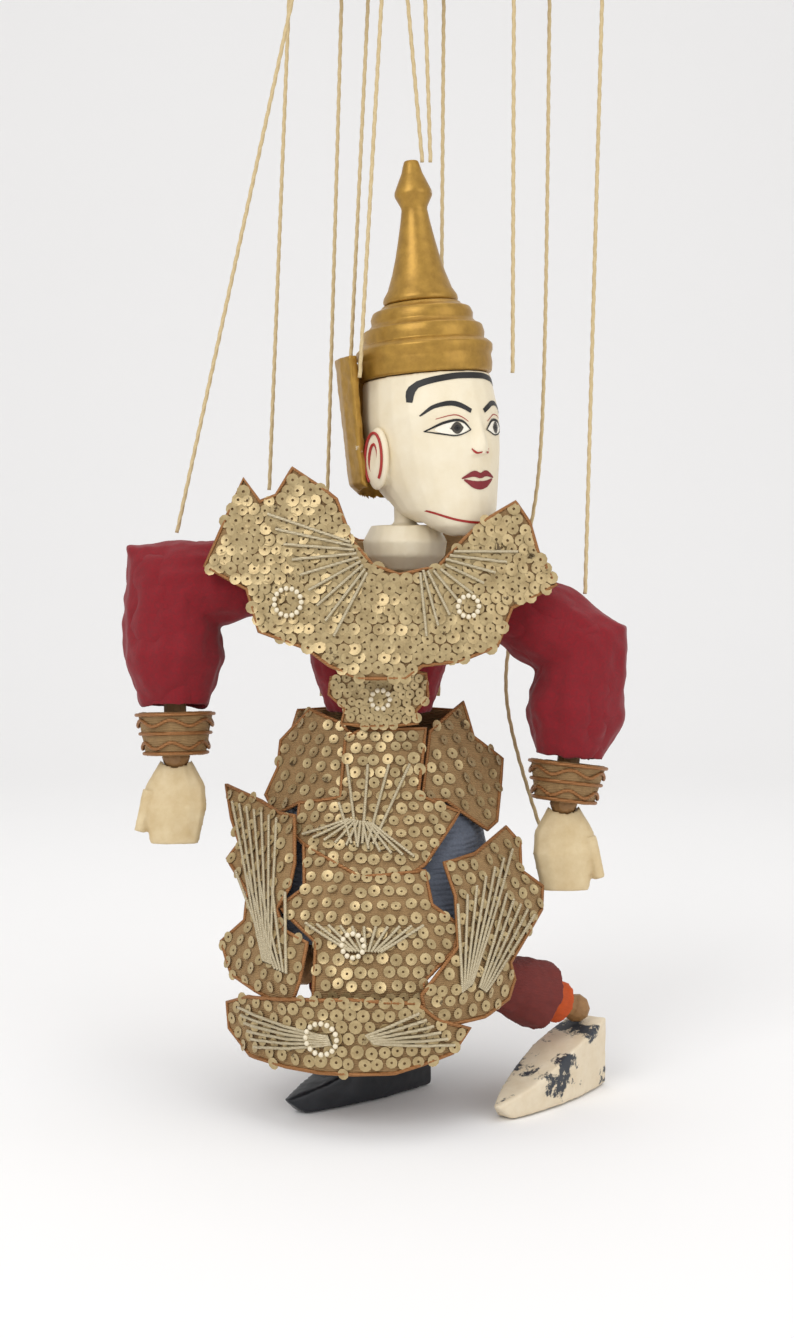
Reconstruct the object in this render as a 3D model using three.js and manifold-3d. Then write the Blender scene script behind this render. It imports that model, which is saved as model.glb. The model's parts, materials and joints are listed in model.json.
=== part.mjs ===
import * as THREE from 'three';
import { mergeVertices } from 'three/addons/utils/BufferGeometryUtils.js';
import Module from 'manifold-3d';

const wasm = await Module();
wasm.setup();

// A string puppet of a prince. Lengths in millimetres, +Z up, the puppet faces -Y.
// Heights below are above the level its shoes rest on; the last group moves the origin to the control's top.
const controlTop = 576;
const barHeight = 10;
const barDepth = 14;
const seatGap = 0.3;

const bodyX = -9;
const waistZ = 176;
const chestTop = 249;
const chestHalf = 31;
const waistHalf = 19;
const chestDepth = 17;
const jacketWall = 4;
const jacketEase = 3;

const jointBall = 9;
const cupGap = 0.35;
const facetShare = 0.92; // a faceted ball's flats lie this much closer to its centre than its corners
const cupFor = (radius) => (radius + cupGap) / facetShare;
const shaft = 5.6;

const clothPitch = 3;
const clothGap = 0.4;
const stringRadius = 1;

const neckRadius = 21;
const neckCentre = [4, 0, 264];
const neckPivot = [4, 0, 247];
const neckHalfHeight = 11;
const headTurn = THREE.MathUtils.degToRad(38);
const headLean = THREE.MathUtils.degToRad(-4);
const headDepth = 37;
const headWidth = 31;
const headShift = 16;
const bandRadius = 34;
const spireHeight = 70;

const arms = {
  right: { shoulder: [-57, 0, 250], elbow: [-112, -1, 245], wrist: [-110, -8, 160], puff: 25 },
  left: { shoulder: [39, 0, 248], elbow: [92, -2, 214], wrist: [83, -9, 137], puff: 24 },
};
const legs = {
  right: { hip: [-27, 0, 122], knee: [-45, -58, 66], ankle: [2, -24, 38], toe: [-52, -76], heel: [11, -18] },
  left: { hip: [9, 0, 122], knee: [30, -62, 66], ankle: [88, -26, 38], toe: [45, -86], heel: [96, -18] },
};
const handLength = 34;
const shoeHeight = 24;
const shoeWidth = 25;

const paint = (color, roughness, metalness = 0) => new THREE.MeshStandardMaterial({ color, roughness, metalness });
const gold = paint(0xa9833a, 0.45, 0.6);
const cream = paint(0xe9dfc8, 0.5);
const velvet = paint(0x8c0f1e, 0.9);
const sequinCloth = paint(0xa88a5a, 0.55, 0.3);
const knit = paint(0x5d6470, 0.95);
const maroon = paint(0x6e2a26, 0.85);
const orange = paint(0xc9541f, 0.9);
const wood = paint(0x9b7447, 0.7);
const cotton = paint(0xd8c49a, 0.9);
const blackPaint = paint(0x22242a, 0.4);

const group = new THREE.Group();
const puppet = new THREE.Group();
puppet.position.z = -controlTop;
group.add(puppet);

const vec = (p) => new THREE.Vector3(...p);
const mix = (a, b, t) => a.map((v, i) => v + (b[i] - v) * t);

// A closed geometry as a solid that can be joined and cut.
function solid(geometry) {
  const bare = geometry.clone();
  bare.deleteAttribute('normal');
  bare.deleteAttribute('uv');
  const merged = mergeVertices(bare, 1e-4);
  const index = merged.index.array;
  const kept = [];
  for (let i = 0; i < index.length; i += 3) {
    const [a, b, c] = [index[i], index[i + 1], index[i + 2]];
    if (a !== b && b !== c && c !== a) kept.push(a, b, c);
  }
  const mesh = new wasm.Mesh({
    numProp: 3,
    vertProperties: new Float32Array(merged.attributes.position.array),
    triVerts: new Uint32Array(kept),
  });
  return new wasm.Manifold(mesh);
}

function addPart(name, body, material, parent = puppet) {
  const data = body.getMesh();
  const geometry = new THREE.BufferGeometry();
  geometry.setAttribute('position', new THREE.BufferAttribute(new Float32Array(data.vertProperties), 3));
  geometry.setIndex(new THREE.BufferAttribute(new Uint32Array(data.triVerts), 1));
  geometry.computeVertexNormals();
  const mesh = new THREE.Mesh(geometry, material);
  mesh.name = name;
  parent.add(mesh);
}

function box(low, high) {
  const size = high.map((v, i) => v - low[i]);
  const geometry = new THREE.BoxGeometry(...size);
  geometry.translate(...mix(low, high, 0.5));
  return solid(geometry);
}

function ball(centre, radius, sides = 10) {
  const geometry = new THREE.SphereGeometry(radius, sides, Math.round(sides * 0.7));
  geometry.translate(...centre);
  return solid(geometry);
}

function taper(a, b, radiusA, radiusB, sides = 10) {
  const from = vec(a);
  const to = vec(b);
  const geometry = new THREE.CylinderGeometry(radiusB, radiusA, from.distanceTo(to), sides);
  const along = to.clone().sub(from).normalize();
  geometry.applyQuaternion(new THREE.Quaternion().setFromUnitVectors(new THREE.Vector3(0, 1, 0), along));
  geometry.translate(...from.add(to).multiplyScalar(0.5).toArray());
  return solid(geometry);
}

// Stacked level rings, each [z, half width, half depth, centre x, centre y].
function stack(rings, sides = 20) {
  const points = [];
  for (const [z, rx, ry, cx, cy] of rings) {
    for (let k = 0; k < sides; k += 1) {
      const angle = (2 * Math.PI * k) / sides;
      points.push(cx + rx * Math.cos(angle), cy + ry * Math.sin(angle), z);
    }
  }
  return loft(points, rings.length, sides);
}

// Joins rings of points into one closed skin with flat ends.
function loft(points, count, sides) {
  const faces = [];
  for (let r = 0; r + 1 < count; r += 1) {
    for (let k = 0; k < sides; k += 1) {
      const next = (k + 1) % sides;
      const [a, b] = [r * sides + k, r * sides + next];
      faces.push(a, b, b + sides, a, b + sides, a + sides);
    }
  }
  const last = (count - 1) * sides;
  for (let k = 1; k + 1 < sides; k += 1) {
    faces.push(0, k + 1, k);
    faces.push(last, last + k, last + k + 1);
  }
  const geometry = new THREE.BufferGeometry();
  geometry.setAttribute('position', new THREE.Float32BufferAttribute(points, 3));
  geometry.setIndex(faces);
  return solid(geometry);
}

// A tube of round sections along a bent line, mitred at its corners.
function bentTube(points, radii, sides = 14) {
  const line = points.map(vec);
  const along = line.slice(1).map((p, i) => p.clone().sub(line[i]).normalize());
  let u = new THREE.Vector3(0, 1, 0).cross(along[0]).normalize();
  const rings = [];
  line.forEach((centre, i) => {
    const into = along[Math.max(i - 1, 0)];
    const out = along[Math.min(i, along.length - 1)];
    const normal = into.clone().add(out);
    const v = into.clone().cross(u);
    for (let k = 0; k < sides; k += 1) {
      const angle = (2 * Math.PI * k) / sides;
      const offset = u.clone().multiplyScalar(Math.cos(angle)).add(v.clone().multiplyScalar(Math.sin(angle)));
      offset.multiplyScalar(radii[i]);
      offset.addScaledVector(into, -offset.dot(normal) / into.dot(normal));
      rings.push(...centre.clone().add(offset).toArray());
    }
    u = u.clone().applyQuaternion(new THREE.Quaternion().setFromUnitVectors(into, out));
  });
  return loft(rings, line.length, sides);
}

function lathe(profile, sides = 20) {
  const geometry = new THREE.LatheGeometry(profile.map(([r, z]) => new THREE.Vector2(r, z)), sides);
  geometry.rotateX(Math.PI / 2);
  return solid(geometry);
}

function cord(points, radius = stringRadius) {
  const section = new THREE.Shape();
  for (let k = 0; k < 8; k += 1) {
    const angle = (Math.PI * k) / 4;
    const x = radius * Math.cos(angle);
    const y = radius * Math.sin(angle);
    if (k === 0) section.moveTo(x, y);
    else section.lineTo(x, y);
  }
  const curve = points.length > 2 ? new THREE.CatmullRomCurve3(points.map(vec)) : new THREE.LineCurve3(...points.map(vec));
  const steps = points.length > 2 ? 12 : 2;
  return solid(new THREE.ExtrudeGeometry(section, { steps, bevelEnabled: false, extrudePath: curve }));
}

// The skirt's bell: half width, half depth and centre depth against height.
const bell = [
  [186, 36, 25, 0], [150, 48, 38, -6], [120, 58, 52, -14], [95, 66, 64, -22], [64, 72, 71, -27], [20, 72, 71, -27],
];
function bellAt(z) {
  for (let i = 0; i + 1 < bell.length; i += 1) {
    const [top, low] = [bell[i], bell[i + 1]];
    if (z <= top[0] && z >= low[0]) return mix(top, low, (top[0] - z) / (top[0] - low[0])).slice(1);
  }
  return (z > bell[0][0] ? bell[0] : bell[bell.length - 1]).slice(1);
}
function skirtFront(x, z) {
  const [rx, ry, cy] = bellAt(z);
  const u = Math.abs(x - bodyX) / rx;
  const s = u <= 0.8 ? Math.sqrt(1 - u * u) : 0.6 - (u - 0.8) * 1.33;
  return cy - ry * s;
}
function skirtBack(x, z) {
  const [rx, ry, cy] = bellAt(z);
  const u = Math.min(Math.abs(x - bodyX) / rx, 0.95);
  return cy + ry * Math.sqrt(1 - u * u);
}
const collarSpan = 90;
const collarFront = (x, z) => -47 + 17 * ((x - bodyX) / collarSpan) ** 2 + 0.14 * (z - 205);
const collarBack = (x, z) => 47 - 13 * ((x - bodyX) / collarSpan) ** 2 - 0.14 * (z - 205);

// A sheet of even thickness that follows a surface y = f(x, z), cut to an outline in x and z.
function panel(outline, surface, near, thickness) {
  const [x0, x1, z0, z1, nx, nz] = [-112, 104, 16, 316, 14, 18];
  const points = [];
  const faces = [];
  const id = (layer, i, j) => layer * (nx + 1) * (nz + 1) + i * (nz + 1) + j;
  for (const depth of [near, near + thickness]) {
    for (let i = 0; i <= nx; i += 1) {
      for (let j = 0; j <= nz; j += 1) {
        const x = x0 + ((x1 - x0) * i) / nx;
        const z = z0 + ((z1 - z0) * j) / nz;
        points.push(x, surface(x, z) - depth, z);
      }
    }
  }
  const quad = (a, b, c, d) => faces.push(a, b, c, a, c, d);
  for (let i = 0; i < nx; i += 1) {
    for (let j = 0; j < nz; j += 1) {
      quad(id(1, i, j), id(1, i + 1, j), id(1, i + 1, j + 1), id(1, i, j + 1));
      quad(id(0, i, j), id(0, i, j + 1), id(0, i + 1, j + 1), id(0, i + 1, j));
    }
  }
  for (let i = 0; i < nx; i += 1) {
    quad(id(0, i, 0), id(0, i + 1, 0), id(1, i + 1, 0), id(1, i, 0));
    quad(id(0, i + 1, nz), id(0, i, nz), id(1, i, nz), id(1, i + 1, nz));
  }
  for (let j = 0; j < nz; j += 1) {
    quad(id(0, 0, j + 1), id(0, 0, j), id(1, 0, j), id(1, 0, j + 1));
    quad(id(0, nx, j), id(0, nx, j + 1), id(1, nx, j + 1), id(1, nx, j));
  }
  const geometry = new THREE.BufferGeometry();
  geometry.setAttribute('position', new THREE.Float32BufferAttribute(points, 3));
  geometry.setIndex(faces);
  const shape = new THREE.Shape(outline.map(([x, z]) => new THREE.Vector2(x, z)));
  const prism = new THREE.ExtrudeGeometry(shape, { depth: 400, bevelEnabled: false });
  prism.rotateX(Math.PI / 2);
  prism.translate(0, 200, 0);
  return solid(geometry).intersect(solid(prism));
}

function addControl() {
  const low = controlTop - 2 * barHeight - seatGap;
  addPart('control_spine', box([-barDepth / 2, -30, controlTop - barHeight], [barDepth / 2, 70, controlTop]), wood);
  addPart('control_front_bar', box([-64, -7, low], [116, 7, low + barHeight]), wood);
  addPart('control_rear_bar', box([-64, 26, low], [92, 44, low + barHeight]), wood);
}

function addTorso() {
  const core = stack([
    [waistZ + 4, waistHalf - 4, chestDepth - 5, bodyX, 0],
    [225, chestHalf - 2, chestDepth, bodyX, 0],
    [chestTop, chestHalf - 4, chestDepth - 2, bodyX, 0],
  ]);
  const coat = (grow) => stack([
    [waistZ + 6, waistHalf + grow, chestDepth - 4 + grow, bodyX, 0],
    [205, chestHalf - 4 + grow, chestDepth + grow, bodyX, 0],
    [232, chestHalf + grow, chestDepth + 2 + grow, bodyX, 0],
  ]);
  let block = core.add(ball([bodyX, 0, waistZ - 2], jointBall)).add(box([bodyX - 5, -5, waistZ], [bodyX + 5, 5, waistZ + 12]));
  for (const arm of Object.values(arms)) {
    block = block.add(taper([bodyX, 0, 241], arm.shoulder, shaft, shaft)).add(ball(arm.shoulder, jointBall));
  }
  block = block.subtract(ball(neckPivot, cupFor(jointBall)));
  addPart('torso_block', block, wood);
  let jacket = coat(jacketEase + jacketWall).subtract(coat(jacketEase)).subtract(core);
  for (const arm of Object.values(arms)) {
    jacket = jacket.subtract(taper([bodyX, 0, 241], arm.shoulder, shaft + 1, shaft + 1));
  }
  addPart('jacket_body', jacket.decompose()[0], velvet);
}

function addCollar() {
  const outline = [
    [-93, 255], [-74, 297], [-66, 286], [-58, 289], [-50, 302], [-34, 291], [-29, 287], [-22, 268], [-12, 256],
    [1, 251], [20, 255], [32, 268], [42, 277], [57, 286], [64, 276], [68, 262], [77, 246], [55, 235], [48, 217],
    [30, 210], [12, 208], [4, 202], [-18, 202], [-32, 208], [-43, 216], [-66, 224], [-72, 244],
  ];
  addPart('collar_front', panel(outline, collarFront, 0, clothPitch - clothGap), sequinCloth);
  const back = [
    [-90, 256], [-70, 284], [-36, 276], [-20, 268], [12, 266], [26, 272], [58, 276], [74, 250], [46, 220],
    [20, 204], [-10, 198], [-40, 206], [-66, 226],
  ];
  addPart('collar_back', panel(back, collarBack, -clothPitch, clothPitch - clothGap), sequinCloth);
  const buckle = [
    [-32, 201], [-20, 205], [-8, 203], [2, 205], [14, 203], [15, 192], [9, 185], [10, 179], [-4, 178], [-16, 178],
    [-27, 179], [-25, 186], [-33, 193],
  ];
  addPart('belt_buckle', panel(buckle, (x) => -31 + 5 * ((x - bodyX) / 24) ** 2, 0, 4), sequinCloth);
}

function addHead() {
  const [nx, ny, nz] = neckCentre;
  const neck = stack([
    [nz - neckHalfHeight, 13, 13, nx, ny],
    [nz - 4, neckRadius - 1, neckRadius - 1, nx, ny],
    [nz + 3, neckRadius, neckRadius, nx, ny],
    [nz + neckHalfHeight, neckRadius - 4, neckRadius - 4, nx, ny],
    [nz + neckHalfHeight + 0.5, shaft, shaft, nx, ny],
    [nz + neckHalfHeight + 14, shaft, shaft, nx, ny],
  ]);
  addPart('neck', neck.add(ball(neckPivot, jointBall)), cream);

  // The head is carved facing -Y about the top of the neck, then turned and leaned.
  const lean = new THREE.Group();
  lean.position.set(nx, ny, nz + neckHalfHeight);
  lean.rotation.y = headLean;
  const head = new THREE.Group();
  head.rotation.z = headTurn;
  head.position.x = headShift;
  lean.add(head);
  puppet.add(lean);

  const neckAt = [-headShift * Math.cos(headTurn), headShift * Math.sin(headTurn)];
  const skull = stack([
    [-7, 9, 8, 0, -24], [-2, 17, 16, 0, -18], [6, 24, 25, 0, -9], [18, 28, 32, 0, -3], [34, headWidth, headDepth, 0, 0],
    [52, headWidth + 1, headDepth, 0, 0], [72, headWidth - 1, headDepth - 3, 0, 1],
  ], 24);
  const nose = stack([[31, 6, 5, 0, -35], [36, 4.5, 6, 0, -35], [52, 2, 3, 0, -34]], 8);
  const earShape = (side) => ball([0, 0, 0], 10, 10).scale([0.3, 0.8, 1.5]).translate([side * (headWidth - 1), 4, 34]);
  const socket = stack([[-20, neckRadius + 1.5, neckRadius + 1.5, ...neckAt], [0.8, neckRadius + 1.5, neckRadius + 1.5, ...neckAt]], 20);
  const bore = stack([[0, shaft + 2, shaft + 2, ...neckAt], [18, shaft + 2, shaft + 2, ...neckAt]], 12);
  addPart('head', skull.add(nose).add(earShape(1)).add(earShape(-1)).subtract(socket).subtract(bore), cream, head);

  const r = bandRadius;
  const crown = lathe([
    [0, 0], [r, 0], [r + 1, 8], [r + 1, 14], [r - 3, 16], [r - 4, 24], [r - 8, 26], [r - 9, 33], [r - 14, 36], [0, 36],
  ], 28).scale([0.93, 1.02, 1]).translate([0, 1, 72 + seatGap]);
  addPart('crown_tiers', crown, gold, head);
  const top = 72 + 36 + 2 * seatGap;
  const h = spireHeight;
  const spire = lathe([
    [0, 0], [18, 0], [18.5, 3], [12, h * 0.3], [7, h * 0.55], [6, h * 0.66], [9.5, h * 0.76], [5.5, h * 0.9], [3.5, h], [0, h],
  ]).translate([0, 1, top]);
  addPart('crown_spire', spire, gold, head);

  const guardOut = stack([[9, 23, 27, 0, 9], [22, headWidth + 8, 34, 0, 9], [84, headWidth + 10, 38, 0, 9]], 24);
  const guardIn = stack([[0, 22, 34, 0, 0], [18, headWidth + 5, 38, 0, 2], [90, headWidth + 6, headDepth + 3, 0, 2]], 24);
  const guard = guardOut.subtract(guardIn).subtract(box([-60, -60, -10], [60, 8, 100]));
  const largest = guard.decompose().sort((a, b) => b.volume() - a.volume())[0];
  addPart('nape_guard', largest, gold, head);
}

function addSkirt() {
  const pelvisTop = waistZ - 6;
  let pelvis = stack([
    [136, 24, 14, bodyX, 0], [148, 26, 16, bodyX, 0], [pelvisTop, waistHalf + 2, 14, bodyX, 0],
  ]);
  for (const leg of Object.values(legs)) {
    const [x, y, z] = leg.hip;
    pelvis = pelvis.add(ball(leg.hip, jointBall)).add(taper([x, y, z + 20], leg.hip, shaft, shaft));
  }
  pelvis = pelvis.subtract(ball([bodyX, 0, waistZ - 2], cupFor(jointBall)));
  addPart('pelvis_block', pelvis, wood);

  const ring = (grow, z) => {
    const [rx, ry, cy] = bellAt(z);
    return [z, rx + grow, ry + grow, bodyX, cy];
  };
  const levels = [80, 95, 120, 150, 168];
  const outer = stack(levels.map((z) => ring(-5, z)), 28);
  const innerEnds = [[79, ...ring(-7.5, 80).slice(1)], [169, ...ring(-7.5, 168).slice(1)]];
  const inner = stack([innerEnds[0], ...levels.slice(1, 4).map((z) => ring(-7.5, z)), innerEnds[1]], 28);
  addPart('petticoat', outer.subtract(inner), knit);

  const sheets = {
    right_side_panel: [0, [[-58, 168], [-43, 184], [-29, 179], [-21, 173], [-25, 141], [-47, 141], [-59, 134], [-65, 142], [-59, 155]]],
    left_side_panel: [0, [[33, 187], [16, 174], [12, 144], [24, 142], [44, 127], [49, 130], [52, 149], [53, 158], [38, 170]]],
    upper_apron: [1, [[-25, 172], [-17, 176], [14, 176], [10, 146], [30, 137], [13, 116], [-1, 108], [-17, 108], [-32, 116], [-48, 126], [-47, 141], [-27, 145]]],
    lower_apron: [2, [[-44, 124], [-17, 112], [13, 114], [16, 100], [29, 90], [26, 80], [12, 68], [12, 50], [-38, 58], [-37, 84], [-55, 97], [-43, 106]]],
    right_flame_flap: [3, [[-86, 145], [-66, 140], [-56, 136], [-49, 136], [-48, 116], [-50, 106], [-56, 96], [-52, 88], [-41, 84], [-44, 68], [-47, 59], [-58, 57], [-78, 63], [-84, 76], [-72, 88], [-71, 100], [-83, 112], [-77, 120], [-82, 130]]],
    left_flame_flap: [3, [[53, 128], [60, 120], [60, 108], [71, 99], [70, 89], [62, 80], [53, 70], [55, 62], [52, 54], [40, 49], [14, 48], [11, 63], [20, 73], [28, 82], [27, 103], [22, 117], [37, 119]]],
    boat_flap: [4, [[-80, 50], [-69, 56], [-45, 60], [-20, 62], [9, 60], [18, 52], [33, 46], [25, 36], [-1, 29], [-33, 28], [-68, 29], [-79, 38]]],
  };
  for (const [name, [layer, outline]] of Object.entries(sheets)) {
    addPart(name, panel(outline, skirtFront, layer * clothPitch - 4, clothPitch - clothGap), sequinCloth);
  }
  const rear = [[-50, 182], [32, 182], [42, 150], [36, 112], [-9, 100], [-54, 112], [-60, 150]];
  addPart('back_panel', panel(rear, skirtBack, -clothPitch + 2, clothPitch - clothGap), sequinCloth);
}

function addArm(side) {
  const arm = arms[side];
  const cup = cupFor(jointBall);
  const upper = taper(arm.shoulder, arm.elbow, shaft, shaft).subtract(ball(arm.shoulder, cup)).add(ball(arm.elbow, jointBall));
  addPart(`${side}_upper_arm`, upper, wood);
  const fore = taper(arm.elbow, arm.wrist, shaft, shaft).subtract(ball(arm.elbow, cup)).add(ball(arm.wrist, jointBall - 2));
  addPart(`${side}_forearm`, fore, wood);

  const sleeve = (from, to, thin) => bentTube(
    [mix(arm.shoulder, arm.elbow, from), mix(arm.shoulder, arm.elbow, 0.6), arm.elbow, mix(arm.elbow, arm.wrist, 0.42), mix(arm.elbow, arm.wrist, to)],
    [19, 22, arm.puff - 2, arm.puff + 1, 17].map((r) => r - thin),
  );
  addPart(`${side}_sleeve`, sleeve(0.22, 0.71, 0).subtract(sleeve(0.18, 0.74, 2.5)), velvet);

  const cuffTop = mix(arm.elbow, arm.wrist, 0.735);
  const cuffEnd = mix(arm.elbow, arm.wrist, 0.99);
  const cuff = taper(cuffTop, cuffEnd, 19, 15, 16).subtract(taper(mix(cuffTop, cuffEnd, -0.1), mix(cuffTop, cuffEnd, 1.1), 16.5, 12, 16));
  addPart(`${side}_cuff`, cuff, sequinCloth);

  const [wx, wy, wz] = arm.wrist;
  const thumbSide = side === 'right' ? -1 : 1;
  const palm = stack([
    [wz - handLength - 8, 12, 4, wx, wy - 9], [wz - handLength + 10, 16, 6, wx, wy - 7], [wz - 14, 15, 7, wx, wy - 3], [wz, 7, 6, wx, wy],
  ], 12);
  const thumb = taper([wx + thumbSide * 12, wy - 6, wz - 16], [wx + thumbSide * 17, wy - 10, wz - 36], 4, 3, 8);
  addPart(`${side}_hand`, palm.add(thumb).subtract(ball(arm.wrist, cupFor(jointBall - 2))), cream);
}

function addLeg(side) {
  const leg = legs[side];
  const cup = cupFor(jointBall);
  const thigh = taper(leg.hip, leg.knee, shaft, shaft).subtract(ball(leg.hip, cup)).add(ball(leg.knee, jointBall));
  addPart(`${side}_thigh`, thigh, wood);
  const small = jointBall - 2;
  const shin = taper(leg.knee, leg.ankle, shaft, shaft).subtract(ball(leg.knee, cup)).add(ball(leg.ankle, small));
  addPart(`${side}_shin`, shin, wood);

  const at = (t) => mix(leg.knee, leg.ankle, t);
  const trouser = taper(at(0.22), at(0.68), 12, 18, 14).subtract(taper(at(0.17), at(0.73), 10, 16, 14));
  addPart(`${side}_trouser`, trouser, maroon);
  const stocking = taper(at(0.5), at(0.86), 9.5, 10.5, 14).subtract(taper(at(0.45), at(0.9), 7.5, 8.5, 14));
  addPart(`${side}_stocking`, stocking, orange);

  const toe = new THREE.Vector2(...leg.toe);
  const heel = new THREE.Vector2(...leg.heel);
  const length = toe.distanceTo(heel);
  const w = shoeWidth / 2;
  const plan = new THREE.Shape();
  plan.moveTo(0, -w * 0.75);
  plan.quadraticCurveTo(length * 0.6, -w * 1.3, length, -w * 0.1);
  plan.lineTo(length, w * 0.1);
  plan.quadraticCurveTo(length * 0.6, w * 1.3, 0, w * 0.75);
  plan.closePath();
  const planSolid = new THREE.ExtrudeGeometry(plan, { depth: 80, bevelEnabled: false, curveSegments: 8 });
  const sidePoints = [[0, 0], [length * 0.9, 0], [length, 7], [length * 0.75, 13], [length * 0.4, shoeHeight], [0, shoeHeight + 9], [-2, 12]];
  const profile = new THREE.Shape(sidePoints.map(([x, z]) => new THREE.Vector2(x, z)));
  const profileSolid = new THREE.ExtrudeGeometry(profile, { depth: 80, bevelEnabled: false });
  profileSolid.rotateX(Math.PI / 2);
  profileSolid.translate(0, 40, 0);
  const angle = (Math.atan2(toe.y - heel.y, toe.x - heel.x) * 180) / Math.PI;
  const shoe = solid(planSolid).intersect(solid(profileSolid)).rotate([0, 0, angle]).translate([heel.x, heel.y, 0]);
  const clear = taper(leg.ankle, at(0.6), small + 1, small + 2, 12);
  addPart(`${side}_shoe`, shoe.subtract(ball(leg.ankle, cupFor(small))).subtract(clear), side === 'right' ? blackPaint : cream);
}

function addStrings() {
  const hold = controlTop - 2 * barHeight - 2 * seatGap;
  const strings = {
    right_elbow_string: [[-110, 2, 271.5], [-46, 0, hold]],
    right_shoulder_string: [[-66, 34, 294], [-54, 30, hold]],
    right_hip_string: [[-40, 52, 186], [-28, 40, hold]],
    left_hip_string: [[22, 52, 186], [24, 40, hold]],
    head_back_string: [[-25, 33, 336], [-14, 34, hold]],
    right_temple_string: [[-18, -23, 346], [-6, -5, hold]],
    left_temple_string: [[57, -6, 350], [57, -4, hold]],
    crown_string_left: [[12.5, 0, 453.5], [3, 0, hold]],
    crown_string_right: [[16.5, 0, 453.5], [13, 0, hold]],
    left_elbow_string: [[94, 0, 241], [101, 0, hold]],
    left_hand_string: [[76, 12, 112], [57, 34, 186], [66, 56, 250], [76, 48, 330], [78, 38, hold]],
  };
  for (const [name, points] of Object.entries(strings)) addPart(name, cord(points), cotton);
}

addControl();
addTorso();
addCollar();
addHead();
addSkirt();
for (const side of ['right', 'left']) {
  addArm(side);
  addLeg(side);
}
addStrings();

export default group;
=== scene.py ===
import json
import math
import random

import bpy
import bmesh
from mathutils import Matrix, Vector
from mathutils.bvhtree import BVHTree


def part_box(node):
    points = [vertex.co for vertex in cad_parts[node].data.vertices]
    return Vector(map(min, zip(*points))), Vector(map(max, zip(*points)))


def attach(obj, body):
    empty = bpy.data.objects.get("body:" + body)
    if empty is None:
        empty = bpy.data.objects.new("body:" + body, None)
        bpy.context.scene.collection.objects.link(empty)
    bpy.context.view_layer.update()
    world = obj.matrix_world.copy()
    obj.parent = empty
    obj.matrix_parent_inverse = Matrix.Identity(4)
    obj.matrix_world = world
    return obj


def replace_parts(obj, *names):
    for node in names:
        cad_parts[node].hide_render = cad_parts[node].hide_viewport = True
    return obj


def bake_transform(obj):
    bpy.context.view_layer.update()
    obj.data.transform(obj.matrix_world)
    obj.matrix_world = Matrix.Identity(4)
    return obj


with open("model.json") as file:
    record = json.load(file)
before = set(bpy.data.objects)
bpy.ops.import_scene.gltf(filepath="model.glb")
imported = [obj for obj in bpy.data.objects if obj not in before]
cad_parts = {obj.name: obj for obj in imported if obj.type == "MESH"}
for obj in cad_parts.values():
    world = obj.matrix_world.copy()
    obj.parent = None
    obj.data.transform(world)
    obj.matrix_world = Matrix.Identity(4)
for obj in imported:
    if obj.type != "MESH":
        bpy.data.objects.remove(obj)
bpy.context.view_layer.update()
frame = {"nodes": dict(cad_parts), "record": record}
random.seed(7)
mm = 0.001
controlTop = 576  # the shoes rest this far under the origin


def point(x, y, z):
    return Vector((x * mm, y * mm, (z - controlTop) * mm))


def linear(hexColour):
    channels = [int(hexColour[i:i + 2], 16) / 255 for i in (0, 2, 4)]
    return tuple(c / 12.92 if c <= 0.04045 else ((c + 0.055) / 1.055) ** 2.4 for c in channels) + (1.0,)


# camera
camera = {"x": 0, "y": -900, "z": 258.5, "pitch": 3.5, "focalPixels": 1800, "frameHeight": 1338}
camData = bpy.data.cameras.new("camera")
camObject = bpy.data.objects.new("camera", camData)
bpy.context.collection.objects.link(camObject)
camObject.location = point(camera["x"], camera["y"], camera["z"])
camObject.rotation_euler = (math.radians(90 - camera["pitch"]), 0, 0)
camData.sensor_width = 36
camData.lens = 36 * camera["focalPixels"] / camera["frameHeight"]
bpy.context.scene.camera = camObject
bpy.context.scene.view_settings.view_transform = "Standard"


# materials
def addNode(tree, kind, settings=None, inputs=None, links=None):
    item = tree.nodes.new(kind)
    for key, value in (settings or {}).items():
        setattr(item, key, value)
    for key, value in (inputs or {}).items():
        item.inputs[key].default_value = value
    for key, source in (links or {}).items():
        tree.links.new(source, item.inputs[key])
    return item


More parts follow.
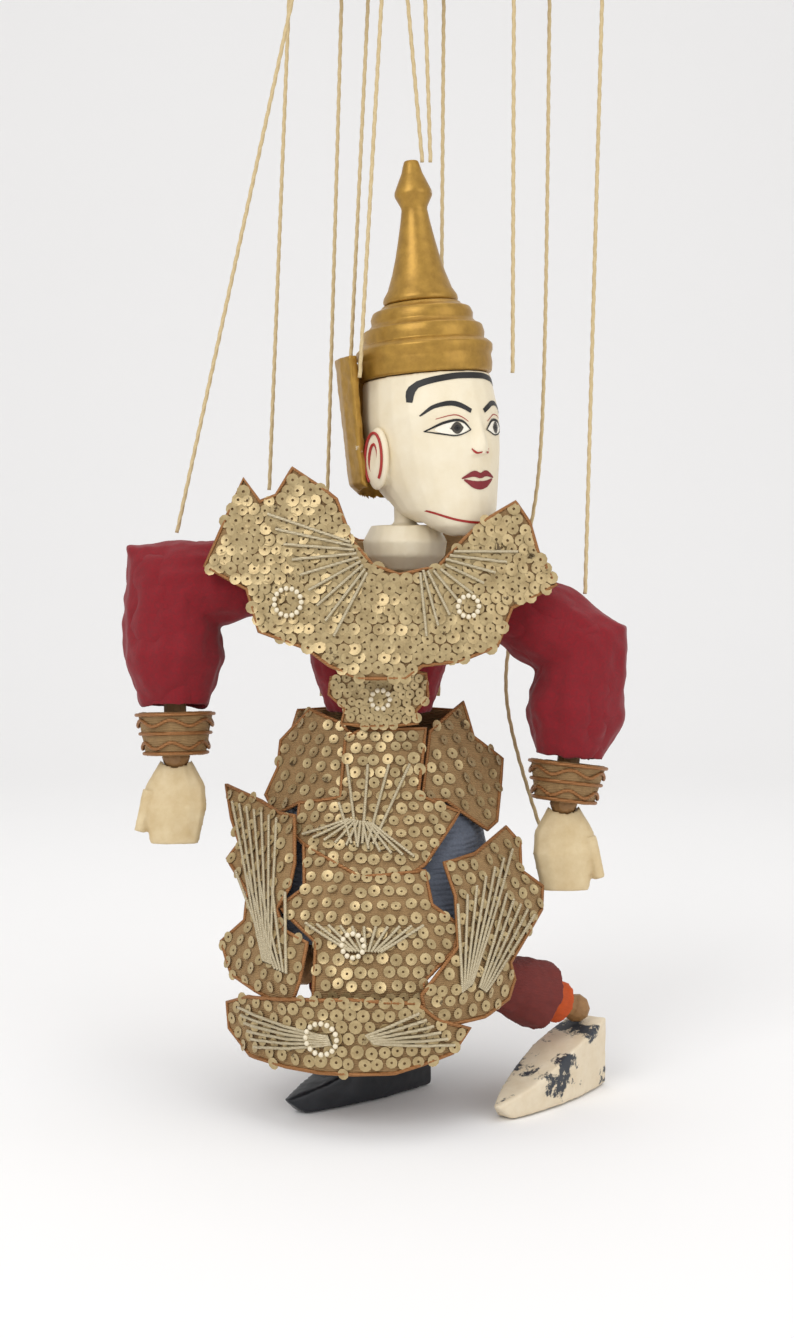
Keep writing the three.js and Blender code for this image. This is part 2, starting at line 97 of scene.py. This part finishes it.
def finish(name, light, dark, rough, grain, bumpDepth, metal=0.0, worn=None, wornShare=0.6, sheen=0.0, wave=None):
    # light and dark: the colour and its darker variation; grain: size of the variation in mm;
    # worn: colour where the surface is rubbed; wave: spacing in mm of a woven or twisted rib
    made = bpy.data.materials.new(name)
    made.use_nodes = True
    tree = made.node_tree
    shader = tree.nodes["Principled BSDF"]
    shader.inputs["Metallic"].default_value = metal
    shader.inputs["Sheen Weight"].default_value = sheen
    where = addNode(tree, "ShaderNodeTexCoord").outputs["Object"]
    spots = addNode(tree, "ShaderNodeTexNoise", inputs={"Scale": 1 / (grain * mm), "Detail": 8.0, "Roughness": 0.65},
                    links={"Vector": where})
    mixed = addNode(tree, "ShaderNodeMix", {"data_type": "RGBA"}, {6: linear(dark), 7: linear(light)},
                    {0: spots.outputs["Fac"]})
    colour = mixed.outputs[2]
    if worn:
        patches = addNode(tree, "ShaderNodeTexNoise", inputs={"Scale": 0.35 / (grain * mm), "Detail": 10.0, "Roughness": 0.7},
                          links={"Vector": where})
        edge = addNode(tree, "ShaderNodeMapRange", inputs={1: wornShare, 2: wornShare + 0.03}, links={0: patches.outputs["Fac"]})
        colour = addNode(tree, "ShaderNodeMix", {"data_type": "RGBA"}, {7: linear(worn)},
                         {0: edge.outputs[0], 6: colour}).outputs[2]
    tree.links.new(colour, shader.inputs["Base Color"])
    rougher = addNode(tree, "ShaderNodeMapRange", inputs={3: rough - 0.1, 4: min(rough + 0.12, 1)},
                      links={0: spots.outputs["Fac"]})
    tree.links.new(rougher.outputs[0], shader.inputs["Roughness"])
    height = spots.outputs["Fac"]
    if wave:
        ribs = addNode(tree, "ShaderNodeTexWave", {"bands_direction": "Z"},
                       {"Scale": 0.31 / (wave * mm), "Distortion": 2.0, "Detail": 2.0}, {"Vector": where})
        height = ribs.outputs["Fac"]
    bump = addNode(tree, "ShaderNodeBump", inputs={"Strength": 0.6, "Distance": bumpDepth * mm}, links={"Height": height})
    tree.links.new(bump.outputs[0], shader.inputs["Normal"])
    return made


# gold lacquer over wood: warm soft shine, rubbed to white ground and brown
goldLacquer = finish("goldLacquerWorn", "C79C45", "7F5C22", 0.36, 5, 0.25, 0.55, "D9CDB4", 0.66)
# enamel-like paint on carved wood: yellowed cream with grime
creamPaint = finish("creamPaintAged", "F1E8D3", "DCCBA6", 0.42, 14, 0.15, 0, "B79D74", 0.7)
handPaint = finish("creamPaintHands", "E3D2AC", "B99B67", 0.5, 9, 0.2, 0, "8F6D42", 0.69)
shoePaint = finish("shoePaintChipped", "EDE2CC", "CDB792", 0.5, 9, 0.3, 0, "2B3038", 0.55)
blackPaint = finish("blackPaintWorn", "23262D", "14161A", 0.35, 8, 0.3, 0, "75705F", 0.63)
# silk velvet: dark pile with a pale edge sheen
velvet = finish("redVelvet", "930A1B", "5A0410", 0.9, 1.6, 0.3, 0, sheen=0.12)
clothBack = finish("beigeBrocadeGround", "B08F61", "7C5E3A", 0.75, 2.2, 0.5, 0.1, wave=0.8)
knit = finish("greyKnit", "79808E", "3E444F", 0.95, 1.0, 0.6, 0, wave=2.2)
maroonCotton = finish("maroonCotton", "7A3029", "551C1A", 0.85, 3, 0.2, 0, wave=0.7)
orangeCotton = finish("orangeCotton", "D2591F", "A94114", 0.85, 3, 0.2, 0, wave=0.7)
bareWood = finish("bareWood", "A57C4C", "7A5630", 0.6, 6, 0.2)
cotton = finish("twistedCotton", "DCC9A0", "B49B6B", 0.9, 1.5, 0.2)
# aged brass-coloured sequins: bright small facets, browned by age
sequin = finish("sequinAged", "D6C293", "7D6238", 0.34, 5, 0.15, 0.5, "5B4A30", 0.62)
metalCord = finish("couchedMetalCord", "B98350", "6E431F", 0.45, 1, 0.3, 0.5, wave=0.8)
silverCord = finish("couchedSilverCord", "D8CDB0", "9C8A66", 0.4, 1, 0.3, 0.4, wave=0.8)
pearl = finish("pearlBead", "F3EBD8", "D9C9A4", 0.2, 3, 0.05)
blackLine = finish("blackBrush", "17130F", "0B0908", 0.45, 2, 0.05)
crimson = finish("crimsonBrush", "8E0F1C", "650812", 0.4, 2, 0.05)
redLine = finish("redBrush", "B32A20", "8A1A14", 0.45, 2, 0.05)
eyeWhite = finish("eyeWhiteBrush", "FBF6EA", "E9E1CD", 0.35, 3, 0.05)
irisBrown = finish("irisBrush", "4A4338", "2A241C", 0.3, 1, 0.05)
print("stage: materials")


def newPiece(name, mesh, material, body):
    piece = bpy.data.objects.new(name, mesh)
    bpy.context.collection.objects.link(piece)
    mesh.materials.clear()
    mesh.materials.append(material)
    for face in mesh.polygons:
        face.use_smooth = True
    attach(piece, body)
    return piece


def bodyOf(node):
    for body, nodes in frame["record"]["behaviour"]["bodies"].items():
        if node in nodes:
            return body
    return None


def cadMesh(node):
    return frame["nodes"][node].data


# A carved or sewn form: the node's shape, remeshed fine, softened and gently uneven.
def soften(node, material, voxel, smooth, uneven=0.0, size=10.0, name=None):
    piece = newPiece(name or node + "_form", cadMesh(node).copy(), material, bodyOf(node))
    steps = [("REMESH", {"mode": "VOXEL", "voxel_size": voxel * mm, "use_smooth_shade": True}),
             ("SMOOTH", {"iterations": smooth, "factor": 0.5})]
    if uneven:
        texture = bpy.data.textures.new(node + "Folds", "CLOUDS")
        texture.noise_scale = size * mm
        texture.noise_depth = 2
        steps.append(("DISPLACE", {"texture": texture, "strength": uneven * mm, "mid_level": 0.55, "texture_coords": "GLOBAL"}))
    for kind, settings in steps:
        modifier = piece.modifiers.new(kind.lower(), kind)
        for key, value in settings.items():
            setattr(modifier, key, value)
    graph = bpy.context.evaluated_depsgraph_get()
    shaped = bpy.data.meshes.new_from_object(piece.evaluated_get(graph))
    piece.modifiers.clear()
    piece.data = shaped
    shaped.materials.clear()
    shaped.materials.append(material)
    for face in shaped.polygons:
        face.use_smooth = True
    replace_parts(piece, node)
    return piece


softForms = {
    "torso_block": (bareWood, 1.6, 2, 0, 0), "jacket_body": (velvet, 1.2, 4, 2.0, 9), "neck": (creamPaint, 1.0, 5, 0.5, 12),
    "nape_guard": (goldLacquer, 0.9, 3, 0.8, 6), "belt_buckle": (clothBack, 0.7, 3, 0.6, 5),
    "right_hand": (handPaint, 0.8, 4, 0.5, 8), "left_hand": (handPaint, 0.8, 4, 0.5, 8),
    "right_shoe": (blackPaint, 0.9, 6, 0.8, 10), "left_shoe": (shoePaint, 0.9, 6, 0.8, 10),
    "right_cuff": (clothBack, 0.8, 3, 0.8, 6), "left_cuff": (clothBack, 0.8, 3, 0.8, 6),
    "right_stocking": (orangeCotton, 0.8, 3, 1.2, 6), "left_stocking": (orangeCotton, 0.8, 3, 1.2, 6),
    "pelvis_block": (bareWood, 1.4, 2, 0, 0),
}
for node, (material, voxel, smooth, uneven, size) in softForms.items():
    soften(node, material, voxel, smooth, uneven, size)
for side in ("right", "left"):
    sleeve = soften(side + "_sleeve", velvet, 1.1, 14, 7.0, 24)
    trouser = soften(side + "_trouser", maroonCotton, 0.9, 3, 3.0, 12)
    sleeve.parent = None
    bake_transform(sleeve)
    for part in ("upper_arm", "forearm", "thigh", "shin"):
        frame["nodes"][side + "_" + part].data.materials.clear()
        frame["nodes"][side + "_" + part].data.materials.append(bareWood)
petticoat = soften("petticoat", knit, 1.2, 5, 4.0, 14)
for node in ("control_spine", "control_front_bar", "control_rear_bar"):
    soften(node, bareWood, 1.2, 3)


def cordAlong(name, points, radius, material, body, closed=False):
    curve = bpy.data.curves.new(name, "CURVE")
    curve.dimensions = "3D"
    curve.bevel_depth = radius * mm
    curve.bevel_resolution = 2
    spline = curve.splines.new("POLY")
    spline.points.add(len(points) - 1)
    for target, place in zip(spline.points, points):
        target.co = (*place, 1)
    spline.use_cyclic_u = closed
    holder = bpy.data.objects.new(name + "Line", curve)
    bpy.context.collection.objects.link(holder)
    graph = bpy.context.evaluated_depsgraph_get()
    mesh = bpy.data.meshes.new_from_object(holder.evaluated_get(graph))
    bpy.data.objects.remove(holder)
    return newPiece(name, mesh, material, body)


# cuffs: couched rings round a tapered band; elbow, wrist and end radii as the part has them
cuffs = {"right": ((-112, -1, 245), (-110, -8, 160)), "left": ((92, -2, 214), (83, -9, 137))}
for side, (elbow, wrist) in cuffs.items():
    top, wristPoint = point(*elbow), point(*wrist)
    along = (wristPoint - top).normalized()
    u = along.cross(Vector((0, 1, 0))).normalized()
    v = along.cross(u)
    for number, share in enumerate((0.75, 0.80, 0.86, 0.93, 0.975)):
        t = (share - 0.735) / 0.255
        radius = 19 + (15 - 19) * t + 0.5
        centre = top.lerp(wristPoint, share)
        ring = []
        for k in range(48):
            angle = 2 * math.pi * k / 48
            wavy = 1.6 * math.cos(6 * angle) * mm if number in (1, 3) else 0
            ring.append(centre + (u * math.cos(angle) + v * math.sin(angle)) * radius * mm + along * wavy)
        cordAlong(f"{side}_cuff_cord_{number}", ring, 0.9, metalCord, side + "_forearm", True)
print("stage: soft forms")


headShift = 16  # the head sits this far to one side of the neck, in mm
# crown, turned in two pieces about the head's own axis
headPlace = (Matrix.Translation(point(4, 0, 275)) @ Matrix.Rotation(math.radians(-4), 4, "Y")
             @ Matrix.Translation((headShift * mm, 0, 0)) @ Matrix.Rotation(math.radians(38), 4, "Z"))


def turned(name, profile, material, base, flatX, flatY, sides=72):
    mesh = bpy.data.meshes.new(name)
    verts = []
    for radius, height in profile:
        for k in range(sides):
            angle = 2 * math.pi * k / sides
            local = Vector((radius * math.cos(angle) * flatX, radius * math.sin(angle) * flatY + 1, base + height)) * mm
            verts.append(headPlace @ local)
    faces = [[r * sides + k, r * sides + (k + 1) % sides, (r + 1) * sides + (k + 1) % sides, (r + 1) * sides + k]
             for r in range(len(profile) - 1) for k in range(sides)]
    faces.append(list(range(sides))[::-1])
    faces.append([(len(profile) - 1) * sides + k for k in range(sides)])
    mesh.from_pydata(verts, [], faces)
    piece = newPiece(name, mesh, material, "head")
    edge = piece.modifiers.new("edges", "BEVEL")
    edge.width = 0.7 * mm
    edge.segments = 3
    edge.limit_method = "ANGLE"
    return piece


tiers = [(33, 0), (34, 1), (34.5, 5), (34, 9), (35, 11), (35.2, 14), (33, 16), (31, 17), (31.5, 20), (30.5, 24), (28, 25),
         (26, 27), (26.3, 30), (25, 33), (22, 34), (20.5, 35), (20, 36)]
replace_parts(turned("crownTiersTurned", tiers, goldLacquer, 72.3, 0.93, 1.02), "crown_tiers")
spire = [(18, 0), (18.7, 1.5), (18.2, 3.5), (16, 7), (13.2, 15), (11, 23), (9, 32), (7.4, 40), (6.4, 46), (6.6, 47.5), (9.4, 53),
         (9.2, 55), (7, 60), (5.2, 64), (4.4, 67), (3.4, 70)]
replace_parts(turned("crownSpireTurned", spire, goldLacquer, 108.6, 1, 1), "crown_spire")
print("stage: crown")

# head and its painted face; the face is drawn in the head's own x and z, in mm, and laid on the wood
headForm = soften("head", creamPaint, 0.9, 9, 0.4, 14)
headTree = BVHTree.FromPolygons([v.co.copy() for v in headForm.data.vertices], [list(f.vertices) for f in headForm.data.polygons])
facing = headPlace.to_3x3() @ Vector((0, 1, 0))


def onFace(x, z, lift):
    start = headPlace @ (Vector((x, -90, z)) * mm)
    hit = headTree.ray_cast(start, facing)[0]
    if hit is None:
        hit = headPlace @ (Vector((x, -20, z)) * mm)
    return hit - facing * (lift * mm)


def brushStroke(name, line, widths, material, lift=0.25, steps=28):
    verts = []
    for i in range(steps + 1):
        t = i / steps * (len(line) - 1)
        k = min(int(t), len(line) - 2)
        f = t - k
        before = line[max(k - 1, 0)]
        after = line[min(k + 2, len(line) - 1)]
        a, b = line[k], line[k + 1]
        x, z = [0.5 * (2 * a[n] + (b[n] - before[n]) * f + (2 * before[n] - 5 * a[n] + 4 * b[n] - after[n]) * f * f
                       + (3 * a[n] - before[n] - 3 * b[n] + after[n]) * f ** 3) for n in (0, 1)]
        w = widths[k] + (widths[k + 1] - widths[k]) * f
        dx, dz = b[0] - a[0], b[1] - a[1]
        long = math.hypot(dx, dz) or 1
        for s in (-1, 0, 1):
            verts.append(onFace(x - dz / long * w * s / 2, z + dx / long * w * s / 2, lift))
    faces = [[3 * i + s, 3 * i + s + 1, 3 * i + s + 4, 3 * i + s + 3] for i in range(steps) for s in (0, 1)]
    mesh = bpy.data.meshes.new(name)
    mesh.from_pydata(verts, [], faces)
    return newPiece(name, mesh, material, "head")


def patch(name, centre, halfWidth, halfHeight, material, lift=0.2, corner=2.0):
    rings, sides = 4, 28
    verts = [onFace(centre[0], centre[1], lift)]
    for r in range(1, rings + 1):
        for k in range(sides):
            angle = 2 * math.pi * k / sides
            c, s = math.cos(angle), math.sin(angle)
            verts.append(onFace(centre[0] + halfWidth * r / rings * math.copysign(abs(c) ** (2 / corner), c),
                                centre[1] + halfHeight * r / rings * math.copysign(abs(s) ** corner, s), lift))
    faces = [[0, 1 + k, 1 + (k + 1) % sides] for k in range(sides)]
    for r in range(rings - 1):
        for k in range(sides):
            a, b = 1 + r * sides + k, 1 + r * sides + (k + 1) % sides
            faces.append([a, b, b + sides, a + sides])
    mesh = bpy.data.meshes.new(name)
    mesh.from_pydata(verts, [], faces)
    return newPiece(name, mesh, material, "head")


for s, side in ((-1, "right"), (1, "left")):
    brushStroke(side + "Brow", [(s * 4, 52), (s * 12, 56), (s * 20, 55), (s * 25, 51)], [2.2, 2.6, 1.8, 0.5], blackLine)
    patch(side + "EyeWhite", (s * 13, 44), 7.5, 3.4, eyeWhite, 0.2, 1.3)
    patch(side + "Iris", (s * 12.5 + 0.8, 44.2), 2.9, 2.9, irisBrown, 0.35)
    patch(side + "Pupil", (s * 12.5 + 0.8, 44.2), 1.5, 1.5, blackLine, 0.45)
    brushStroke(side + "UpperLid", [(s * 5, 43), (s * 10, 47.6), (s * 17, 47), (s * 24, 43.5)], [0.6, 1.2, 1.3, 0.5], blackLine, 0.4)
    brushStroke(side + "LowerLid", [(s * 5, 43), (s * 12, 40.6), (s * 19, 42), (s * 24, 43.5)], [0.5, 0.7, 0.7, 0.4], blackLine, 0.4)
    brushStroke(side + "Crease", [(s * 6, 47), (s * 12, 50.4), (s * 20, 49)], [0.3, 0.5, 0.3], redLine, 0.25)
    brushStroke(side + "Nostril", [(s * 1.5, 32), (s * 3.8, 31.8), (s * 5.4, 34)], [0.7, 0.9, 0.5], redLine, 0.4)
brushStroke("upperLip", [(-10, 20), (-4, 22), (0, 21), (4, 22), (10, 20)], [0.5, 3.0, 2.6, 3.0, 0.5], crimson, 0.35)
brushStroke("lowerLip", [(-9, 19.4), (-4, 17), (0, 16.4), (4, 17), (9, 19.4)], [0.5, 3.4, 4.2, 3.4, 0.5], crimson, 0.32)
brushStroke("hairLine", [(-27, 58), (-24, 66), (-12, 69), (0, 69.5), (12, 69), (24, 66), (27, 58)], [1.5, 3, 3, 3, 3, 3, 1.5], blackLine, 0.3)
brushStroke("jawLine", [(-22, 6), (-12, 0.5), (0, -1.5), (12, 0.5), (22, 6)], [0.6, 1.1, 1.2, 1.1, 0.6], redLine, 0.3)
# ear outlines in red, on the side of the head
for s, side in ((-1, "right"), (1, "left")):
    lobe = bmesh.new()
    bmesh.ops.create_uvsphere(lobe, u_segments=28, v_segments=18, radius=1)
    for vertex in lobe.verts:
        x, y, z = vertex.co
        hollow = 0.55 * math.exp(-((y - 0.1) ** 2 + (z - 0.15) ** 2) * 5) if x * s > 0 else 0
        vertex.co = headPlace @ (Vector((s * 33 + (x - s * hollow) * 4, 2 + y * 8 - z * 1.5, 33 + z * 15)) * mm)
    earMesh = bpy.data.meshes.new(side + "Ear")
    lobe.to_mesh(earMesh)
    lobe.free()
    newPiece(side + "Ear", earMesh, creamPaint, "head")
    for number, (reachY, reachZ, out) in enumerate(((6.6, 12.5, 2.6), (3.4, 7.0, 2.4))):
        line = []
        for k in range(22):
            angle = math.radians(-60 + 290 * k / 21)
            y, z = math.cos(angle) * reachY, math.sin(angle) * reachZ
            line.append(headPlace @ (Vector((s * (33 + out), 2 + y - z / 10, 33 + z)) * mm))
        cordAlong(f"{side}EarLine{number}", line, 0.7, redLine, "head")
print("stage: face")

# embroidered panels: ground cloth, couched cord round the edge, sequins, rays and beads
panels = {
    "collar_front": (-1, 3.3, 5.4), "collar_back": (1, 3.3, 6.4), "belt_buckle": (-1, 2.6, 4.4), "upper_apron": (-1, 2.9, 6.2),
    "lower_apron": (-1, 2.8, 6.4), "right_flame_flap": (-1, 2.9, 6.4), "left_flame_flap": (-1, 2.9, 6.4), "boat_flap": (-1, 3.0, 6.2),
    "right_side_panel": (-1, 2.8, 7), "left_side_panel": (-1, 2.8, 7), "back_panel": (1, 3.0, 8),
}  # facing along y, sequin radius in mm, spacing in mm


def surfaceOf(node):
    mesh = cadMesh(node)
    return BVHTree.FromPolygons([v.co.copy() for v in mesh.vertices], [list(f.vertices) for f in mesh.polygons])


def rimLoops(node, face):
    work = bmesh.new()
    work.from_mesh(cadMesh(node))
    bmesh.ops.remove_doubles(work, verts=work.verts, dist=1e-6)
    work.verts.index_update()
    work.normal_update()
    rim = {}
    for edge in work.edges:
        if len(edge.link_faces) == 2:
            facings = sorted(f.normal.y * face for f in edge.link_faces)
            if facings[1] > 0.3 and facings[0] < 0.25:
                a, b = edge.verts
                rim.setdefault(a.index, []).append(b.index)
                rim.setdefault(b.index, []).append(a.index)
    places = {v.index: v.co.copy() for v in work.verts}
    work.free()
    loops, seen = [], set()
    for start in sorted(rim):
        if start in seen:
            continue
        loop, here = [start], start
        seen.add(start)
        while True:
            nextOnes = [n for n in rim[here] if n not in seen]
            if not nextOnes:
                break
            here = nextOnes[0]
            seen.add(here)
            loop.append(here)
        if len(loop) > 6:
            loops.append([places[i] for i in loop])
    return loops


def addDisc(verts, faces, place, normal, radius, sides=10):
    side = normal.orthogonal().normalized()
    other = normal.cross(side)
    base = len(verts)
    for ring, (share, rise) in enumerate(((1.0, 0.0), (0.55, 0.32), (0.22, 0.26))):
        for k in range(sides):
            angle = 2 * math.pi * k / sides
            verts.append(place + (side * math.cos(angle) + other * math.sin(angle)) * radius * share * mm - normal * rise * mm * 0.6)
    for ring in (0, 1):
        for k in range(sides):
            a, b = base + ring * sides + k, base + ring * sides + (k + 1) % sides
            faces.append([a, b, b + sides, a + sides])


for node, (face, radius, spacing) in panels.items():
    body = bodyOf(node)
    if node != "belt_buckle":
        ground = soften(node, clothBack, 0.9, 2, 0.7, 6)
    tree = surfaceOf(node)
    low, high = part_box(node)
    for number, loop in enumerate(rimLoops(node, face)):
        cordAlong(f"{node}_edge_{number}", loop, 0.95, metalCord, body, True)
    verts, faces = [], []
    rows = int((high[2] - low[2]) / (spacing * mm * 0.87)) + 1
    for row in range(rows):
        z = low[2] + row * spacing * mm * 0.87
        x = low[0] + (row % 2) * spacing * mm / 2
        while x < high[0]:
            jitter = Vector((random.uniform(-1, 1), 0, random.uniform(-1, 1))) * mm * 0.7
            start = Vector((x, face * 0.4, z)) + jitter
            hit, normal, index, distance = tree.ray_cast(start, Vector((0, -face, 0)))
            x += spacing * mm
            if hit is None or normal.y * face < 0.2:
                continue
            tilt = Vector((random.uniform(-1, 1), random.uniform(-1, 1), random.uniform(-1, 1))) * 0.22
            addDisc(verts, faces, hit + normal * 1.0 * mm, (normal + tilt).normalized(), radius * random.uniform(0.85, 1.05))
    mesh = bpy.data.meshes.new(node + "_sequins")
    mesh.from_pydata(verts, [], faces)
    newPiece(node + "_sequins", mesh, sequin, body)
print("stage: panels")


def layOn(tree, x, z, lift, face=-1):
    hit = tree.ray_cast(point(x, face * 400, z), Vector((0, -face, 0)))[0]
    return None if hit is None else hit + Vector((0, face * lift * mm, 0))


# rays of couched silver cord, each fan a centre and the ends of its first and last ray
fans = {
    "collar_front": [((-9, 262), (-62, 280), (-30, 222), 9, 0.25), ((10, 262), (14, 222), (58, 262), 9, 0.25)],
    "upper_apron": [((-17, 138), (-45, 128), (8, 120), 11, 0.2), ((-17, 114), (-34, 160), (6, 160), 5, 0.25)],
    "lower_apron": [((-14, 78), (-42, 92), (12, 92), 11, 0.25)],
    "right_flame_flap": [((-58, 62), (-82, 138), (-58, 134), 7, 0.15), ((-50, 62), (-78, 108), (-52, 104), 5, 0.2)],
    "left_flame_flap": [((30, 56), (28, 100), (56, 118), 7, 0.15), ((34, 54), (52, 100), (66, 88), 5, 0.2)],
    "boat_flap": [((-20, 44), (-74, 50), (-66, 34), 6, 0.2), ((-20, 44), (26, 40), (10, 56), 6, 0.2)],
}
for node, rays in fans.items():
    tree = surfaceOf(node)
    count = 0
    for (cx, cz), first, last, number, near in rays:
        for k in range(number):
            f = k / (number - 1)
            ex = first[0] + (last[0] - first[0]) * f
            ez = first[1] + (last[1] - first[1]) * f
            line = []
            for i in range(15):
                t = near + (1 - near) * i / 14
                place = layOn(tree, cx + (ex - cx) * t, cz + (ez - cz) * t, 1.9)
                if place is not None:
                    line.append(place)
            if len(line) > 4:
                cordAlong(f"{node}_ray_{count}", line, 0.75, silverCord, bodyOf(node))
                count += 1

beadRings = {"collar_front": [(-52, 238, 6.5), (34, 236, 5)], "belt_buckle": [(-8, 191, 4.5)], "lower_apron": [(-20, 84, 5)],
             "boat_flap": [(-34, 44, 7)]}
for node, rings in beadRings.items():
    tree = surfaceOf(node)
    work = bmesh.new()
    for cx, cz, ringRadius in rings:
        beads = max(8, int(2 * math.pi * ringRadius / 2.6))
        for k in range(beads):
            angle = 2 * math.pi * k / beads
            place = layOn(tree, cx + ringRadius * math.cos(angle), cz + ringRadius * math.sin(angle), 2.4)
            if place is not None:
                bmesh.ops.create_uvsphere(work, u_segments=10, v_segments=7, radius=1.25 * mm, matrix=Matrix.Translation(place))
    mesh = bpy.data.meshes.new(node + "_beads")
    work.to_mesh(mesh)
    work.free()
    newPiece(node + "_beads", mesh, pearl, bodyOf(node))
print("stage: rays and beads")

# strings: three-ply cotton, taut, each on its real line; points in mm as the part has them
hold = 555.4
stringLines = {
    "right_elbow_string": ([(-110, 2, 271.5), (-46, 0, hold)], "right_upper_arm"),
    "right_shoulder_string": ([(-66, 34, 294), (-54, 30, hold)], None),
    "right_hip_string": ([(-40, 52, 186), (-28, 40, hold)], "pelvis"),
    "left_hip_string": ([(22, 52, 186), (24, 40, hold)], "pelvis"),
    "head_back_string": ([(-25, 33, 336), (-14, 34, hold)], "neck"),
    "right_temple_string": ([(-18, -23, 346), (-6, -5, hold)], "neck"),
    "left_temple_string": ([(57, -6, 350), (57, -4, hold)], "neck"),
    "crown_string_left": ([(12.5, 0, 453.5), (3, 0, hold)], "neck"),
    "crown_string_right": ([(16.5, 0, 453.5), (13, 0, hold)], "neck"),
    "left_elbow_string": ([(94, 0, 241), (101, 0, hold)], "left_upper_arm"),
    "left_hand_string": ([(76, 12, 112), (57, 34, 186), (66, 56, 250), (76, 48, 330), (78, 38, hold)], "left_upper_arm"),
}


def routeOf(points):
    dense = []
    for k in range(len(points) - 1):
        before, a, b = points[max(k - 1, 0)], points[k], points[k + 1]
        after = points[min(k + 2, len(points) - 1)]
        for i in range(8):
            f = i / 8
            dense.append([0.5 * (2 * a[n] + (b[n] - before[n]) * f + (2 * before[n] - 5 * a[n] + 4 * b[n] - after[n]) * f * f
                                 + (3 * a[n] - before[n] - 3 * b[n] + after[n]) * f ** 3) for n in range(3)])
    dense.append(list(points[-1]))
    return [point(*p) for p in dense]


def pliedTube(name, route, radius, material):
    rings, twist, sides = [], 0.0, 12
    for a, b in zip(route, route[1:]):
        steps = max(1, int((b - a).length / (1.3 * mm)))
        for i in range(steps):
            rings.append((a.lerp(b, i / steps), (b - a).normalized()))
    rings.append((route[-1], (route[-1] - route[-2]).normalized()))
    verts = []
    for number, (centre, along) in enumerate(rings):
        u = along.cross(Vector((0, 1, 0))).normalized()
        v = along.cross(u)
        twist = number * 1.3 * 2 * math.pi / 21
        for k in range(sides):
            angle = 2 * math.pi * k / sides
            lobe = radius * (0.92 + 0.16 * math.cos(3 * (angle - twist)))
            verts.append(centre + (u * math.cos(angle) + v * math.sin(angle)) * lobe * mm)
    faces = [[r * sides + k, r * sides + (k + 1) % sides, (r + 1) * sides + (k + 1) % sides, (r + 1) * sides + k]
             for r in range(len(rings) - 1) for k in range(sides)]
    faces += [list(range(sides))[::-1], [(len(rings) - 1) * sides + k for k in range(sides)]]
    mesh = bpy.data.meshes.new(name)
    mesh.from_pydata(verts, [], faces)
    piece = bpy.data.objects.new(name, mesh)
    bpy.context.collection.objects.link(piece)
    mesh.materials.append(material)
    for face in mesh.polygons:
        face.use_smooth = True
    return piece


for name, (points, lowerBody) in stringLines.items():
    route = routeOf(points)
    piece = pliedTube(name + "_cotton", route, 1.0, cotton)
    if lowerBody is None or name == "left_hand_string":
        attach(piece, "torso")
    else:
        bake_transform(piece)
    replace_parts(piece, name)
print("stage: strings")

# floor, backdrop and light
floorMesh = bpy.data.meshes.new("sweep")
sweepProfile = [(-3.0, 0.0), (1.2, 0.0)]
sweepProfile += [(1.2 + 1.0 * math.sin(a * math.pi / 24), 1.0 - 1.0 * math.cos(a * math.pi / 24)) for a in range(1, 13)]
sweepProfile += [(2.2, 4.0)]
floorVerts = [(x, y, z - controlTop * mm - 0.0008) for y, z in sweepProfile for x in (-4, 4)]
floorMesh.from_pydata(floorVerts, [], [[2 * i, 2 * i + 1, 2 * i + 3, 2 * i + 2] for i in range(len(sweepProfile) - 1)])
floorMesh.materials.append(finish("paleSweep", "F4F3F2", "F1F0EF", 0.9, 900, 0.0))
for face in floorMesh.polygons:
    face.use_smooth = True
floor = bpy.data.objects.new("sweep", floorMesh)
bpy.context.collection.objects.link(floor)

world = bpy.data.worlds.new("studio")
bpy.context.scene.world = world
world.use_nodes = True
background = world.node_tree.nodes["Background"]
background.inputs["Color"].default_value = linear("F7F7F8")
background.inputs["Strength"].default_value = 0.75


def softLight(name, place, target, size, power):
    data = bpy.data.lights.new(name, "AREA")
    data.size = size
    data.energy = power
    lamp = bpy.data.objects.new(name, data)
    bpy.context.collection.objects.link(lamp)
    lamp.location = place
    lamp.rotation_euler = (Vector(target) - Vector(place)).to_track_quat("-Z", "Y").to_euler()


softLight("key", (-1.0, -1.5, 0.9), (0, 0, -0.3), 1.2, 16)
softLight("fill", (1.4, -1.3, 0.3), (0, 0, -0.3), 1.4, 8)
softLight("top", (0.1, 0.2, 1.5), (0, 0, -0.3), 1.5, 10)
print("stage: light")
